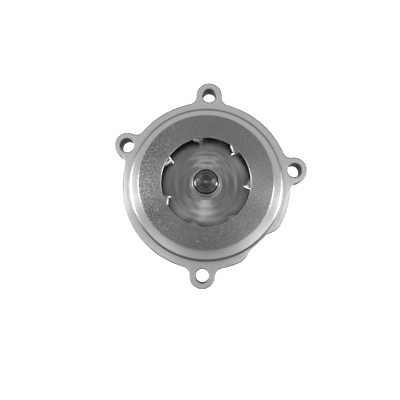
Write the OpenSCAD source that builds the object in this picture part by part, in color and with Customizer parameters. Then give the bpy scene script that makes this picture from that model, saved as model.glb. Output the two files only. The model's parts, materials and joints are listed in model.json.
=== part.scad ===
// Engine coolant pump with a closed impeller, an integral shaft bearing and a pulley hub.
// The impeller faces +Z and the pulley hub faces -Z. The origin is on the shaft's axis, in the
// plane of the flange's mounting face. Heights are measured from that face.

/* [Flange] */
// Radius of the flange's round outline
flange_r = 57.8; // [57.4:0.1:59]
// Thickness of the flange plate
flange_t = 9; // [8:0.5:10]
// Angle of each bolt lug about the shaft, from +X towards +Y
lug_angles = [9.5, 88, 153, 267.5]; // [0:0.5:360]
// Distance of each lug's hole from the shaft's axis
lug_places = [61.4, 62.6, 61.2, 62]; // [61:0.1:63]
// Outer radius of a lug
lug_r = 8.8; // [8:0.1:9.5]
// Thickness of a lug
lug_t = 15; // [12:0.5:15.5]
// Radius of a lug's bolt hole
lug_hole_r = 4.5; // [4.2:0.1:5]
// Radius of the blend between a lug and the flange's outline
lug_blend_r = 5.5; // [3:0.5:6]
// Direction in which the clearance notch opens
notch_angle = -47.6; // [-52:0.1:-42]
// Half width of the notch at its root
notch_half_w = 7.7; // [6:0.1:9]
// Slope of the notch's flanks, from the direction in which it opens
notch_flank_angle = 64; // [55:1:68]
// Radius of the notch's outer corners
notch_corner_r = 3; // [1:0.5:4]

/* [Pilot] */
// Radius of the pilot that enters the engine's bore
pilot_r = 52.2; // [51.8:0.1:52.6]
// Height of the pilot above the flange's face
pilot_h = 6; // [5.5:0.5:6]
// Height of the lead-in chamfer at the pilot's edge
pilot_chamfer = 1.4; // [0.8:0.1:1.6]
// Width of the same chamfer, measured across the pilot's face
pilot_chamfer_w = 2; // [1:0.1:2.2]
// Width of the O-ring's groove
groove_w = 2.9; // [2.8:0.1:3.1]
// Radius of the O-ring's section
o_ring_section_r = 1.3; // [1.2:0.05:1.35]

/* [Impeller] */
// Outer radius of the shroud and the disc
impeller_r = 44.8; // [43:0.1:46]
// Radius of the eye, where the coolant enters
eye_r = 29.5; // [28.5:0.1:30.5]
// Thickness of the shroud
shroud_t = 1.5; // [1.2:0.1:2]
// Thickness of the disc
disc_t = 1.4; // [1.2:0.1:2]
// Height of the blades between the disc and the shroud
blade_h = 8.5; // [7:0.1:10]
// Number of blades, one node each
blade_count = 7; // [7:1:7]
// Thickness of a blade
blade_t = 2.2; // [1.6:0.1:2.6]
// Direction of the first blade's inner end
blade_start_angle = 46.6; // [0:0.1:51]
// Distance of a blade's inner end from the axis
blade_inner_r = 26.2; // [25:0.1:28]
// Lean of a blade off the radius at its inner end
blade_inner_lean = 20; // [10:1:30]
// Lean of a blade off the radius at its outer end
blade_outer_lean = 44; // [35:1:50]
// Drop of a blade's inner edge as it slopes in from the eye
blade_slope_drop = 3.6; // [2.5:0.1:5]
// Thickness of the tab at a blade's inner end, under the shroud
blade_tab_t = 1.1; // [0.8:0.1:1.2]
// Slope of the tab's sheared inner edge
blade_tab_slope = 32; // [25:1:45]

/* [Shaft and bearing] */
// Radius of the shaft
shaft_r = 7.959; // [7.9:0.001:8]
// Height of the shaft's end above the flange's face
shaft_top = 18.6; // [18.4:0.1:20]
// Outer radius of the bearing
race_r = 15; // [14.9:0.1:15.1]
// Length of the bearing's outer race
race_l = 38.8; // [38.5:0.1:39]
// Radius of a bearing ball
ball_r = 3.175; // [3.1:0.005:3.2]
// Number of balls, one node each
ball_count = 8; // [8:1:8]
// Radius of a bearing roller
roller_r = 2.5; // [2.4:0.01:2.5]
// Length of a bearing roller
roller_l = 9; // [7:0.5:9]
// Number of rollers, one node each
roller_count = 10; // [10:1:10]

/* [Pulley hub] */
// Radius of the hub's flange
hub_r = 38; // [36:1:42]
// Thickness of the hub's flange
hub_t = 6; // [5:0.5:7]
// Radius of the nose that centres the pulley
hub_nose_r = 15; // [13:0.5:18]
// Height of the nose
hub_nose_h = 4; // [3:0.5:5]
// Diameter of the circle of threaded holes
hub_pcd = 58; // [54:1:60]
// Number of threaded holes
hub_hole_count = 4; // [3:1:6]
// Radius of a threaded hole
hub_hole_r = 3.4; // [2.5:0.1:4]

/* [Hidden] */

$fn = 96;
eps = 0.1;
// Overlap that turns a tangent contact of two cylinders into a clean crossing
cross = 0.03;

// Impeller heights
disc_back = pilot_h + 0.6;
disc_front = disc_back + disc_t;
shroud_back = disc_front + blade_h;
shroud_front = shroud_back + shroud_t;
hub_collar_r = 9.2;
hub_spigot_r = 11;
hub_back_r = 13;
hub_back = -1;
collar_top = shroud_front - 0.4;
disc_boss_r = 14.1;
disc_step_r = 19.8;
disc_boss_rise = 0.5;
disc_step_rise = 0.3;

// Pilot groove and its O-ring
groove_z = 1.2;
// The ring is drawn squeezed, as it sits in the engine's bore
o_ring_proud = -0.05;
o_ring_r = pilot_r + o_ring_proud - o_ring_section_r;
groove_r = o_ring_r - o_ring_section_r - 0.02;

// Housing behind the flange
drum_r = 50;
drum_back = -16;
drum_back_r = 47;
cone_r = 44;
cone_back = -30;
nose_r = 21;
nose_chamfer = 1.2;
rib_count = 6;
rib_t = 5;
rib_end = -52;
notch_root_r = pilot_r + 1;

// Bores inside the housing, from the impeller to the nose
cavity_r = 21;
case_seat = -5;
case_r = 18;
case_back = -19.8;
chamber_r = 14;
race_top = -25.5;
race_back = race_top - race_l;
clip_t = 1.2;
clip_slot_t = 1.3;
clip_slot_r = race_r + 0.8;
clip_top = race_back - 0.1;
nose_back = clip_top - clip_slot_t - 1.8;
weep_r = 2.5;
weep_z = (case_back + race_top) / 2;

// Bearing
ball_pitch_r = 10.6;
ball_z = -33;
ball_gap = 0.04;
roller_gap = 0.03;
roller_pitch_r = shaft_r + roller_gap + roller_r;
roller_track_r = roller_pitch_r + roller_r + roller_gap;
roller_z = -50.5;
race_bore_r = 12.2;
lip_seat_r = 13.7;
lip_seat_l = 2.6;
lip_t = 2.2;
lip_gap = 0.04;
cage_inner_r = 9.9;
ball_cage_outer_r = 11.3;
roller_cage_outer_r = 11;
ball_cage_half = 4.6;
roller_cage_half = 6.5;

// Coolant seal
boot_t = 0.8;
seat_back = -6;
seat_inner_r = 9;
face_gap = 0.05;
carbon_front = seat_back - face_gap;
carbon_nose_back = -6.8;
carbon_back = -10;
carbon_inner_r = 8.8;
carbon_outer_r = 12.4;
carbon_nose_inner_r = 9.6;
carbon_nose_outer_r = 11.6;
rubber_t = 0.8;
bellows_inner_r = 9.2;
bellows_tube_r = 10.2;
bellows_lip = -7.6;
bellows_outer_r = carbon_outer_r + rubber_t;
bellows_base = carbon_back - rubber_t;
band_t = 0.5;
band_front = -7.2;
band_inner_r = 10.9;
sheet_t = 0.8;
case_floor = case_back + sheet_t;
case_foot = case_floor + rubber_t;
case_foot_r = 16.9;
case_hole_r = 9.6;
case_rim_r = 20.2;
spring_r = 12;
spring_wire_r = 0.6;
spring_turns = 3;
spring_rings = 24;
spring_sides = 8;

// Slinger
slinger_r = 12.6;
slinger_front = -22;
slinger_t = 1.2;
slinger_hub_r = 9.6;
slinger_hub_t = 2.4;

// Pulley hub
hub_gap = 2.5;
hub_top = nose_back - hub_gap;
hub_boss_r = 14;
hub_neck_l = 8;
hub_face = hub_top - hub_neck_l - hub_t;
hub_nose_back = hub_face - hub_nose_h;
hub_chamfer = 0.8;
shaft_back = hub_nose_back + 1;
shaft_chamfer = 1.1;

function on_circle(r, a) = [r * cos(a), r * sin(a)];

// Ring of rectangular section about the axis
module ring(r_in, r_out, z_low, z_high) {
    rotate_extrude()
        polygon([[r_in, z_low], [r_out, z_low], [r_out, z_high], [r_in, z_high]]);
}

// Ring of round section about the axis
module torus(r, section_r, z) {
    rotate_extrude()
        translate([r, z])
            circle(r = section_r);
}

// One lug with the two blends that join it to the flange's outline
module lug(place, angle) {
    to_flange = flange_r + lug_blend_r - cross;
    to_lug = lug_r + lug_blend_r - cross;
    spread = acos((place ^ 2 + to_flange ^ 2 - to_lug ^ 2) / (2 * place * to_flange));
    blend_a = on_circle(to_flange, spread);
    blend_b = on_circle(to_flange, -spread);
    rotate(angle)
        translate([0, 0, -lug_t]) {
            translate([place, 0, 0])
                cylinder(r = lug_r, h = lug_t);
            difference() {
                linear_extrude(lug_t)
                    polygon([[0, 0], blend_b, [place, 0], blend_a]);
                for (p = [blend_a, blend_b])
                    translate([p.x, p.y, -eps])
                        cylinder(r = lug_blend_r, h = lug_t + 2 * eps);
            }
        }
}

// What the notch removes: a wedge outside the root, and the corner of each flank
module notch_cutter() {
    half_angle = asin(notch_half_w / notch_root_r);
    root = on_circle(notch_root_r, half_angle);
    along = on_circle(1, notch_flank_angle);
    inward = on_circle(1, notch_flank_angle + 90);
    far = 2 * lug_r;
    base = root + notch_corner_r * inward;
    b = base * along;
    c = base * base - (flange_r - notch_corner_r) ^ 2;
    run = -b + sqrt(b ^ 2 - c);
    centre = base + run * along;
    flank_end = root + run * along;
    rim_end = centre * flange_r / norm(centre);
    tip = root + (run + notch_corner_r) * along;
    rotate(notch_angle)
        translate([0, 0, -flange_t - eps]) {
            difference() {
                linear_extrude(flange_t + eps)
                    polygon([
                        [0, 0], root, root + far * along,
                        [root.x + far * along.x, -root.y - far * along.y], [root.x, -root.y]
                    ]);
                cylinder(r = notch_root_r, h = flange_t + eps);
            }
            for (side = [0, 1])
                mirror([0, side, 0])
                    difference() {
                        linear_extrude(flange_t + eps)
                            polygon([centre, flank_end, tip, rim_end * 1.05, rim_end]);
                        translate([centre.x, centre.y, -eps])
                            cylinder(r = notch_corner_r - cross, h = flange_t + 3 * eps);
                    }
        }
}

// Pilot, drum, cone and bearing nose, turned about the axis
module turned_body() {
    rotate_extrude()
        polygon([
            [0, pilot_h],
            [pilot_r - pilot_chamfer_w, pilot_h],
            [pilot_r, pilot_h - pilot_chamfer],
            [pilot_r, groove_z + groove_w],
            [groove_r, groove_z + groove_w],
            [groove_r, groove_z],
            [pilot_r, groove_z],
            [pilot_r, -flange_t / 2],
            [drum_r, -flange_t / 2],
            [drum_r, -flange_t - 1],
            [drum_back_r, drum_back],
            [cone_r, drum_back],
            [nose_r, cone_back],
            [nose_r, nose_back + nose_chamfer],
            [nose_r - nose_chamfer, nose_back],
            [0, nose_back]
        ]);
}

module ribs() {
    for (i = [0 : rib_count - 1])
        rotate([90, 0, i * 360 / rib_count])
            translate([0, 0, -rib_t / 2])
                linear_extrude(rib_t)
                    polygon([
                        [chamber_r + 3, drum_back + 1],
                        [drum_back_r - 2, drum_back + 1],
                        [drum_back_r - 4, drum_back - 2],
                        [nose_r, rib_end],
                        [chamber_r + 3, rib_end]
                    ]);
}

// Everything that is bored out along the axis
module axial_bores() {
    rotate_extrude()
        polygon([
            [0, pilot_h + eps],
            [cavity_r, pilot_h + eps],
            [cavity_r, case_seat],
            [case_r, case_seat],
            [case_r, case_back],
            [chamber_r, case_back],
            [chamber_r, race_top],
            [race_r, race_top],
            [race_r, clip_top],
            [clip_slot_r, clip_top],
            [clip_slot_r, clip_top - clip_slot_t],
            [race_r, clip_top - clip_slot_t],
            [race_r, nose_back - eps],
            [0, nose_back - eps]
        ]);
}

module housing() {
    color("gainsboro")
        difference() {
            union() {
                translate([0, 0, -flange_t])
                    cylinder(r = flange_r, h = flange_t);
                for (i = [0 : len(lug_angles) - 1])
                    lug(lug_places[i], lug_angles[i]);
                turned_body();
                ribs();
            }
            notch_cutter();
            for (i = [0 : len(lug_angles) - 1])
                rotate(lug_angles[i])
                    translate([lug_places[i], 0, -lug_t - eps])
                        cylinder(r = lug_hole_r, h = lug_t + 2 * eps);
            axial_bores();
            rotate([90, 0, 0])
                translate([0, weep_z, 0])
                    cylinder(r = weep_r, h = drum_r);
        }
}

module pilot_o_ring() {
    color("dimgray")
        torus(o_ring_r, o_ring_section_r, groove_z + groove_w / 2);
}

module bearing_outer_race() {
    color("lightsteelblue")
        difference() {
            rotate_extrude()
                polygon([
                    [lip_seat_r, race_top],
                    [race_r, race_top],
                    [race_r, race_back],
                    [lip_seat_r, race_back],
                    [lip_seat_r, race_back + lip_seat_l],
                    [race_bore_r, race_back + lip_seat_l],
                    [race_bore_r, roller_z - roller_l / 2 - 0.2],
                    [roller_track_r, roller_z - roller_l / 2 - 0.2],
                    [roller_track_r, roller_z + roller_l / 2 + 0.2],
                    [race_bore_r, roller_z + roller_l / 2 + 0.2],
                    [race_bore_r, race_top - lip_seat_l],
                    [lip_seat_r, race_top - lip_seat_l]
                ]);
            torus(ball_pitch_r, ball_r + ball_gap, ball_z);
        }
}

// Snap ring with an open end and an eye at each tip
module bearing_retaining_ring() {
    inner_r = race_r - 2;
    opening = 36;
    tip_r = 2;
    color("slategray")
        translate([0, 0, clip_top - clip_t])
            difference() {
                union() {
                    difference() {
                        cylinder(r = clip_slot_r - 0.05, h = clip_t);
                        translate([0, 0, -eps])
                            cylinder(r = inner_r, h = clip_t + 2 * eps);
                        translate([0, 0, -eps])
                            linear_extrude(clip_t + 2 * eps)
                                polygon([
                                    [0, 0],
                                    on_circle(2 * race_r, -90 - opening / 2),
                                    on_circle(2 * race_r, -90 + opening / 2)
                                ]);
                    }
                    for (side = [-1, 1])
                        rotate(-90 + side * opening / 2)
                            translate([inner_r + 0.2, side * tip_r, 0])
                                cylinder(r = tip_r, h = clip_t);
                }
                for (side = [-1, 1])
                    rotate(-90 + side * opening / 2)
                        translate([inner_r + 0.2, side * tip_r, -eps])
                            cylinder(r = tip_r / 2.5, h = clip_t + 2 * eps);
            }
}

// Lip seal of the bearing: a plate with a waist and a lip that runs on the shaft
module bearing_lip(z_low) {
    lip_r = shaft_r + lip_gap;
    color("saddlebrown")
        rotate_extrude()
            polygon([
                [lip_r, z_low + 0.4],
                [lip_r + 0.6, z_low],
                [lip_seat_r, z_low],
                [lip_seat_r, z_low + lip_t],
                [lip_r + 2.4, z_low + lip_t],
                [lip_r + 1.6, z_low + 1.4],
                [lip_r + 0.6, z_low + 1.4],
                [lip_r, z_low + 1]
            ]);
}

module bearing_seal_rear() {
    bearing_lip(race_top - lip_seat_l + 0.1);
}

module bearing_seal_front() {
    bearing_lip(race_back + lip_seat_l - 0.1 - lip_t);
}

module ball_cage() {
    color("goldenrod")
        difference() {
            ring(cage_inner_r, ball_cage_outer_r, ball_z - ball_cage_half, ball_z + ball_cage_half);
            for (i = [0 : ball_count - 1])
                rotate(i * 360 / ball_count)
                    translate([cage_inner_r - 1, 0, ball_z])
                        rotate([0, 90, 0])
                            cylinder(r = ball_r + 0.12, h = 4);
        }
}

module bearing_ball(index) {
    color("silver")
        rotate((index - 1) * 360 / ball_count)
            translate([ball_pitch_r, 0, ball_z])
                sphere(r = ball_r);
}

module roller_cage() {
    pocket_w = 2 * roller_r + 0.2;
    pocket_l = roller_l + 0.2;
    color("goldenrod")
        difference() {
            ring(cage_inner_r, roller_cage_outer_r, roller_z - roller_cage_half, roller_z + roller_cage_half);
            for (i = [0 : roller_count - 1])
                rotate(i * 360 / roller_count)
                    translate([cage_inner_r - 1, -pocket_w / 2, roller_z - pocket_l / 2])
                        cube([4, pocket_w, pocket_l]);
        }
}

module bearing_roller(index) {
    edge = 0.3;
    color("silver")
        rotate((index - 1) * 360 / roller_count)
            translate([roller_pitch_r, 0, roller_z])
                rotate_extrude()
                    polygon([
                        [0, -roller_l / 2],
                        [roller_r - edge, -roller_l / 2],
                        [roller_r, -roller_l / 2 + edge],
                        [roller_r, roller_l / 2 - edge],
                        [roller_r - edge, roller_l / 2],
                        [0, roller_l / 2]
                    ]);
}

module pump_shaft() {
    color("lightgray")
        difference() {
            rotate_extrude()
                polygon([
                    [0, shaft_back],
                    [shaft_r - shaft_chamfer, shaft_back],
                    [shaft_r, shaft_back + shaft_chamfer],
                    [shaft_r, shaft_top - shaft_chamfer],
                    [shaft_r - shaft_chamfer, shaft_top],
                    [0, shaft_top]
                ]);
            torus(ball_pitch_r, ball_r + ball_gap, ball_z);
        }
}

// Turned bush that carries the disc: collar in front, spigot through the disc, seal shoulder behind
module impeller_hub() {
    edge = 0.35;
    color("darkgray")
        rotate_extrude()
            polygon([
                [shaft_r, hub_back],
                [hub_back_r, hub_back],
                [hub_back_r, disc_back],
                [hub_spigot_r, disc_back],
                [hub_spigot_r, disc_front + disc_boss_rise],
                [hub_collar_r, disc_front + disc_boss_rise],
                [hub_collar_r, collar_top - edge],
                [hub_collar_r - edge, collar_top],
                [shaft_r + edge, collar_top],
                [shaft_r, collar_top - edge]
            ]);
}

module impeller_disc() {
    color("darkgray")
        rotate_extrude()
            polygon([
                [hub_spigot_r, disc_back],
                [impeller_r, disc_back],
                [impeller_r, disc_front],
                [disc_step_r + 1, disc_front],
                [disc_step_r - 0.8, disc_front + disc_step_rise],
                [disc_boss_r + 0.9, disc_front + disc_step_rise],
                [disc_boss_r - 0.8, disc_front + disc_boss_rise],
                [hub_spigot_r, disc_front + disc_boss_rise]
            ]);
}

module impeller_shroud() {
    edge = 0.35;
    color("gray")
        rotate_extrude()
            polygon([
                [eye_r, shroud_back],
                [impeller_r, shroud_back],
                [impeller_r, shroud_front - edge],
                [impeller_r - edge, shroud_front],
                [eye_r + edge, shroud_front],
                [eye_r, shroud_front - edge]
            ]);
}

// The tab of a blade that points along X. It reaches out under the shroud on both sides of the blade,
// and the edge that faces the axis is sheared to a slope.
module blade_tab() {
    nose = [blade_inner_r + 0.3, 0.1];
    flare = [eye_r - 1, 4.5];
    edge_angle = atan2(flare.y - nose.y, flare.x - nose.x);
    difference() {
        linear_extrude(blade_tab_t)
            polygon([
                nose,
                [blade_inner_r + 1.9, -1.45],
                [eye_r + 3.7, -2.9],
                [eye_r + 2.3, 5.6],
                flare
            ]);
        translate([nose.x, nose.y, 0.15])
            rotate([0, 0, edge_angle])
                rotate([-blade_tab_slope, 0, 0])
                    translate([-10, -10, 0])
                        cube([30, 20, 5]);
    }
}

// A blade is an arc of a tube: it leans off the radius by blade_inner_lean at its inner end and by
// blade_outer_lean at the impeller's rim. Its inner end is rounded and slopes out to the eye, under
// the tab.
module impeller_blade(index) {
    tip_r = impeller_r - 0.4;
    lean_gain = tip_r * sin(blade_outer_lean) - blade_inner_r * sin(blade_inner_lean);
    arc_r = (tip_r ^ 2 - blade_inner_r ^ 2) / (2 * lean_gain);
    centre = [blade_inner_r, 0] - arc_r * [sin(blade_inner_lean), cos(blade_inner_lean)];
    slope_top_r = eye_r + 0.7;
    slope_foot_r = blade_inner_r - blade_t / 2 - 0.1;
    color("silver")
        rotate(blade_start_angle + (index - 1) * 360 / blade_count)
            translate([0, 0, disc_front]) {
                difference() {
                    union() {
                        intersection() {
                            translate([centre.x, centre.y, 0])
                                difference() {
                                    cylinder(r = arc_r + blade_t / 2, h = blade_h);
                                    translate([0, 0, -eps])
                                        cylinder(r = arc_r - blade_t / 2, h = blade_h + 2 * eps);
                                }
                            difference() {
                                cylinder(r = tip_r, h = blade_h);
                                translate([0, 0, -eps])
                                    cylinder(r = blade_inner_r, h = blade_h + 2 * eps);
                            }
                            linear_extrude(blade_h)
                                polygon([[0, 0], on_circle(2 * tip_r, -60), on_circle(2 * tip_r, 10)]);
                        }
                        translate([blade_inner_r, 0, 0])
                            cylinder(r = blade_t / 2, h = blade_h);
                    }
                    translate([0, 0, blade_h - blade_slope_drop])
                        cylinder(r1 = slope_foot_r, r2 = slope_top_r, h = blade_slope_drop);
                }
                translate([0, 0, blade_h - blade_tab_t])
                    blade_tab();
            }
}

module seal_case() {
    color("goldenrod")
        rotate_extrude()
            polygon([
                [case_hole_r, case_back],
                [case_r, case_back],
                [case_r, case_seat],
                [case_rim_r, case_seat],
                [case_rim_r, case_seat + sheet_t],
                [case_r - sheet_t, case_seat + sheet_t],
                [case_r - sheet_t, case_floor],
                [case_hole_r, case_floor]
            ]);
}

module seal_bellows() {
    color("dimgray")
        rotate_extrude()
            polygon([
                [bellows_inner_r, case_floor],
                [case_foot_r, case_floor],
                [case_foot_r, case_foot],
                [bellows_tube_r, case_foot],
                [bellows_tube_r, bellows_base],
                [bellows_outer_r, bellows_base],
                [bellows_outer_r, bellows_lip],
                [carbon_outer_r, bellows_lip],
                [carbon_outer_r, carbon_back],
                [bellows_inner_r, carbon_back]
            ]);
}

module seal_drive_band() {
    color("goldenrod")
        rotate_extrude()
            polygon([
                [band_inner_r, bellows_base - band_t],
                [bellows_outer_r + band_t, bellows_base - band_t],
                [bellows_outer_r + band_t, band_front],
                [bellows_outer_r, band_front],
                [bellows_outer_r, bellows_base],
                [band_inner_r, bellows_base]
            ]);
}

module seal_carbon_ring() {
    color("darkslategray")
        rotate_extrude()
            polygon([
                [carbon_inner_r, carbon_back],
                [carbon_outer_r, carbon_back],
                [carbon_outer_r, carbon_nose_back],
                [carbon_nose_outer_r, carbon_nose_back],
                [carbon_nose_outer_r, carbon_front],
                [carbon_nose_inner_r, carbon_front],
                [carbon_nose_inner_r, carbon_nose_back],
                [carbon_inner_r, carbon_nose_back]
            ]);
}

// Round wire coiled between the bellows' foot and the drive band
module seal_spring() {
    z_low = case_foot + spring_wire_r + 0.05;
    z_high = bellows_base - band_t - spring_wire_r - 0.05;
    last = spring_turns * spring_rings;
    points = [
        for (i = [0 : last], j = [0 : spring_sides - 1])
            let (
                turn = i * 360 / spring_rings,
                side = j * 360 / spring_sides,
                r = spring_r + spring_wire_r * cos(side)
            )
            [r * cos(turn), r * sin(turn), z_low + (z_high - z_low) * i / last + spring_wire_r * sin(side)]
    ];
    walls = [
        for (i = [0 : last - 1], j = [0 : spring_sides - 1])
            let (k = (j + 1) % spring_sides)
            [
                i * spring_sides + j,
                i * spring_sides + k,
                (i + 1) * spring_sides + k,
                (i + 1) * spring_sides + j
            ]
    ];
    start_cap = [for (j = [spring_sides - 1 : -1 : 0]) j];
    end_cap = [for (j = [0 : spring_sides - 1]) last * spring_sides + j];
    color("silver")
        polyhedron(points, concat(walls, [start_cap, end_cap]));
}

module seal_seat() {
    color("ivory")
        ring(seat_inner_r, hub_back_r, seat_back, hub_back - boot_t);
}

module seal_seat_boot() {
    color("dimgray")
        rotate_extrude()
            polygon([
                [shaft_r, seat_back],
                [seat_inner_r, seat_back],
                [seat_inner_r, hub_back - boot_t],
                [hub_back_r, hub_back - boot_t],
                [hub_back_r, hub_back],
                [shaft_r, hub_back]
            ]);
}

module slinger() {
    color("dimgray")
        rotate_extrude()
            polygon([
                [shaft_r, slinger_front - slinger_hub_t],
                [slinger_hub_r, slinger_front - slinger_hub_t],
                [slinger_hub_r, slinger_front - slinger_t],
                [slinger_r, slinger_front - slinger_t],
                [slinger_r, slinger_front],
                [shaft_r, slinger_front]
            ]);
}

module pulley_hub() {
    color("slategray")
        difference() {
            rotate_extrude()
                polygon([
                    [shaft_r, hub_top],
                    [hub_boss_r - hub_chamfer, hub_top],
                    [hub_boss_r, hub_top - hub_chamfer],
                    [hub_boss_r, hub_face + hub_t + 3],
                    [hub_boss_r + 3, hub_face + hub_t],
                    [hub_r - hub_chamfer, hub_face + hub_t],
                    [hub_r, hub_face + hub_t - hub_chamfer],
                    [hub_r, hub_face + hub_chamfer],
                    [hub_r - hub_chamfer, hub_face],
                    [hub_nose_r, hub_face],
                    [hub_nose_r, hub_nose_back + hub_chamfer],
                    [hub_nose_r - hub_chamfer, hub_nose_back],
                    [shaft_r, hub_nose_back]
                ]);
            for (i = [0 : hub_hole_count - 1])
                rotate(45 + i * 360 / hub_hole_count)
                    translate([hub_pcd / 2, 0, hub_face - eps])
                        cylinder(r = hub_hole_r, h = hub_t + 2 * eps);
        }
}

housing();
pilot_o_ring();
bearing_outer_race();
bearing_retaining_ring();
bearing_seal_rear();
bearing_seal_front();
seal_case();
seal_bellows();
seal_spring();
seal_drive_band();
seal_carbon_ring();
pump_shaft();
impeller_hub();
impeller_disc();
impeller_shroud();
for (i = [1 : blade_count])
    impeller_blade(i);
seal_seat();
seal_seat_boot();
slinger();
pulley_hub();
ball_cage();
for (i = [1 : ball_count])
    bearing_ball(i);
roller_cage();
for (i = [1 : roller_count])
    bearing_roller(i);
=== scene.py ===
"""Looks of the engine coolant pump: casting, turned faces, impeller, shaft, seal and bearing."""
import json
import math

import bmesh
import bpy
import numpy as np
import openvdb
from mathutils import Matrix, Vector


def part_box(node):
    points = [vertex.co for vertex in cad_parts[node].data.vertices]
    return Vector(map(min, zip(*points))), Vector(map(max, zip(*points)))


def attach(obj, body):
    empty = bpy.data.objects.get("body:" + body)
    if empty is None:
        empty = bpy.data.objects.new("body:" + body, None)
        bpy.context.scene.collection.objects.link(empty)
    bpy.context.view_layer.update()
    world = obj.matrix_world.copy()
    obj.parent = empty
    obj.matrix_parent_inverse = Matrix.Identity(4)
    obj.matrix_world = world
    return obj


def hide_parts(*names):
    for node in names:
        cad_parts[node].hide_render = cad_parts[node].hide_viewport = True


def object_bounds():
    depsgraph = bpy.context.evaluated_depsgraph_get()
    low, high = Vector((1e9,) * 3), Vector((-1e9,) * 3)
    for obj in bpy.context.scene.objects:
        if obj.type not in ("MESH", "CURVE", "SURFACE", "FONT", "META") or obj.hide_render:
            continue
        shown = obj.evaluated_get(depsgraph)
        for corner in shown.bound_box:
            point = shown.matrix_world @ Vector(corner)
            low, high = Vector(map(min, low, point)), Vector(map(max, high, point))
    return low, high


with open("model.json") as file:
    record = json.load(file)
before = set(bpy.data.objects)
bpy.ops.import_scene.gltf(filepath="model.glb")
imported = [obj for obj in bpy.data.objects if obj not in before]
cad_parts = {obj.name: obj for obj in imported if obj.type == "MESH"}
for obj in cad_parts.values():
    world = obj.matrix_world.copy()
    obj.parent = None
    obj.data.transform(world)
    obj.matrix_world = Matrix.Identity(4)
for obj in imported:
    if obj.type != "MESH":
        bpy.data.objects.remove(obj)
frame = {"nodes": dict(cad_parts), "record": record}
cad_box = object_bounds()
nodes = frame["nodes"]

MM = 0.001
TURN_SEGMENTS = 180

# Sizes shared with the CAD model, in millimetres and degrees. Heights are from the flange's face.
FLANGE_R, FLANGE_T = 57.8, 9.0
LUG_R, LUG_T, LUG_BLEND_R, LUG_HOLE_R = 8.8, 15.0, 5.5, 4.5
NOTCH_ANGLE, NOTCH_HALF_W, NOTCH_FLANK_ANGLE = -47.6, 7.7, 64.0
NOTCH_CORNER_R, NOTCH_ROOT_R = 3.0, 53.2
PILOT_R, PILOT_H, PILOT_CHAMFER, PILOT_CHAMFER_W = 52.2, 6.0, 1.4, 2.0
GROOVE_LOW, GROOVE_HIGH, GROOVE_R = 1.2, 4.1, 49.53
DRUM_R, DRUM_BACK_R, DRUM_BACK = 50.0, 47.0, -16.0
CONE_R, CONE_BACK = 44.0, -30.0
NOSE_R, NOSE_BACK, NOSE_CHAMFER = 21.0, -67.5, 1.2
RIB_T, RIB_COUNT, RIB_END = 5.0, 6, -52.0
CAVITY_R, CASE_SEAT, CASE_R, CASE_BACK = 21.0, -5.0, 18.0, -19.8
CHAMBER_R, RACE_TOP, RACE_R = 14.0, -25.5, 15.0
CLIP_SLOT_R, CLIP_SLOT_TOP, CLIP_SLOT_BACK = 15.8, -64.4, -65.7
WEEP_R, WEEP_Z = 2.5, -22.65
SHAFT_R, SHAFT_TOP, SHAFT_BACK, SHAFT_CHAMFER = 7.959, 18.6, -87.0, 1.1
BALL_GAP = 0.04
HUB_COLLAR_R, HUB_SPIGOT_R, HUB_BACK_R, HUB_BACK = 9.2, 11.0, 13.0, -1.0
EYE_R, DISC_T = 29.5, 1.4


# ---------------------------------------------------------------- meshes

def add_object(name, data):
    """Puts an object that holds this data into the scene."""
    made = bpy.data.objects.new(name, data)
    bpy.context.scene.collection.objects.link(made)
    return made


def closed_mesh(name, bm):
    """Turns a closed bmesh in millimetres into a mesh in metres."""
    bmesh.ops.scale(bm, vec=(MM, MM, MM), verts=bm.verts)
    bmesh.ops.recalc_face_normals(bm, faces=bm.faces)
    mesh = bpy.data.meshes.new(name)
    bm.to_mesh(mesh)
    bm.free()
    return mesh


def new_piece(name, bm, body, materials, replaced, smooth_angle=35.0):
    """Turns a bmesh in millimetres into a named piece on a body, in place of CAD nodes."""
    mesh = closed_mesh(name, bm)
    mesh.shade_smooth()
    mesh.set_sharp_from_angle(angle=math.radians(smooth_angle))
    piece = add_object(name, mesh)
    for material in materials:
        mesh.materials.append(material)
    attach(piece, body)
    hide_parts(*replaced)
    return piece


def rounded(profile, steps=5):
    """Rounds the corners of a closed (r, z) profile. A point may carry its own corner radius."""
    out = []
    count = len(profile)
    for i, point in enumerate(profile):
        radius = point[2] if len(point) > 2 else 0.0
        here = np.array(point[:2], float)
        if radius <= 0.0:
            out.append(tuple(here))
            continue
        before = np.array(profile[i - 1][:2], float) - here
        after = np.array(profile[(i + 1) % count][:2], float) - here
        len_before, len_after = np.linalg.norm(before), np.linalg.norm(after)
        before, after = before / len_before, after / len_after
        half = math.acos(max(-1.0, min(1.0, float(before @ after)))) / 2.0
        reach = min(radius / math.tan(half), 0.48 * len_before, 0.48 * len_after)
        for k in range(steps + 1):
            t = k / steps
            a, b = here + before * reach, here + after * reach
            out.append(tuple((1 - t) ** 2 * a + 2 * t * (1 - t) * here + t * t * b))
    return out


def eased_edge(r, z, width, height, power=1.5, steps=12):
    """Points of a soft outer edge that leaves the top face flat and meets the wall upright."""
    turns = [0.5 * math.pi * k / steps for k in range(steps + 1)]
    return [(r - width + width * math.sin(t) ** (2.0 / power),
             z - height + height * max(0.0, math.cos(t)) ** (2.0 / power)) for t in turns]


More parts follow.
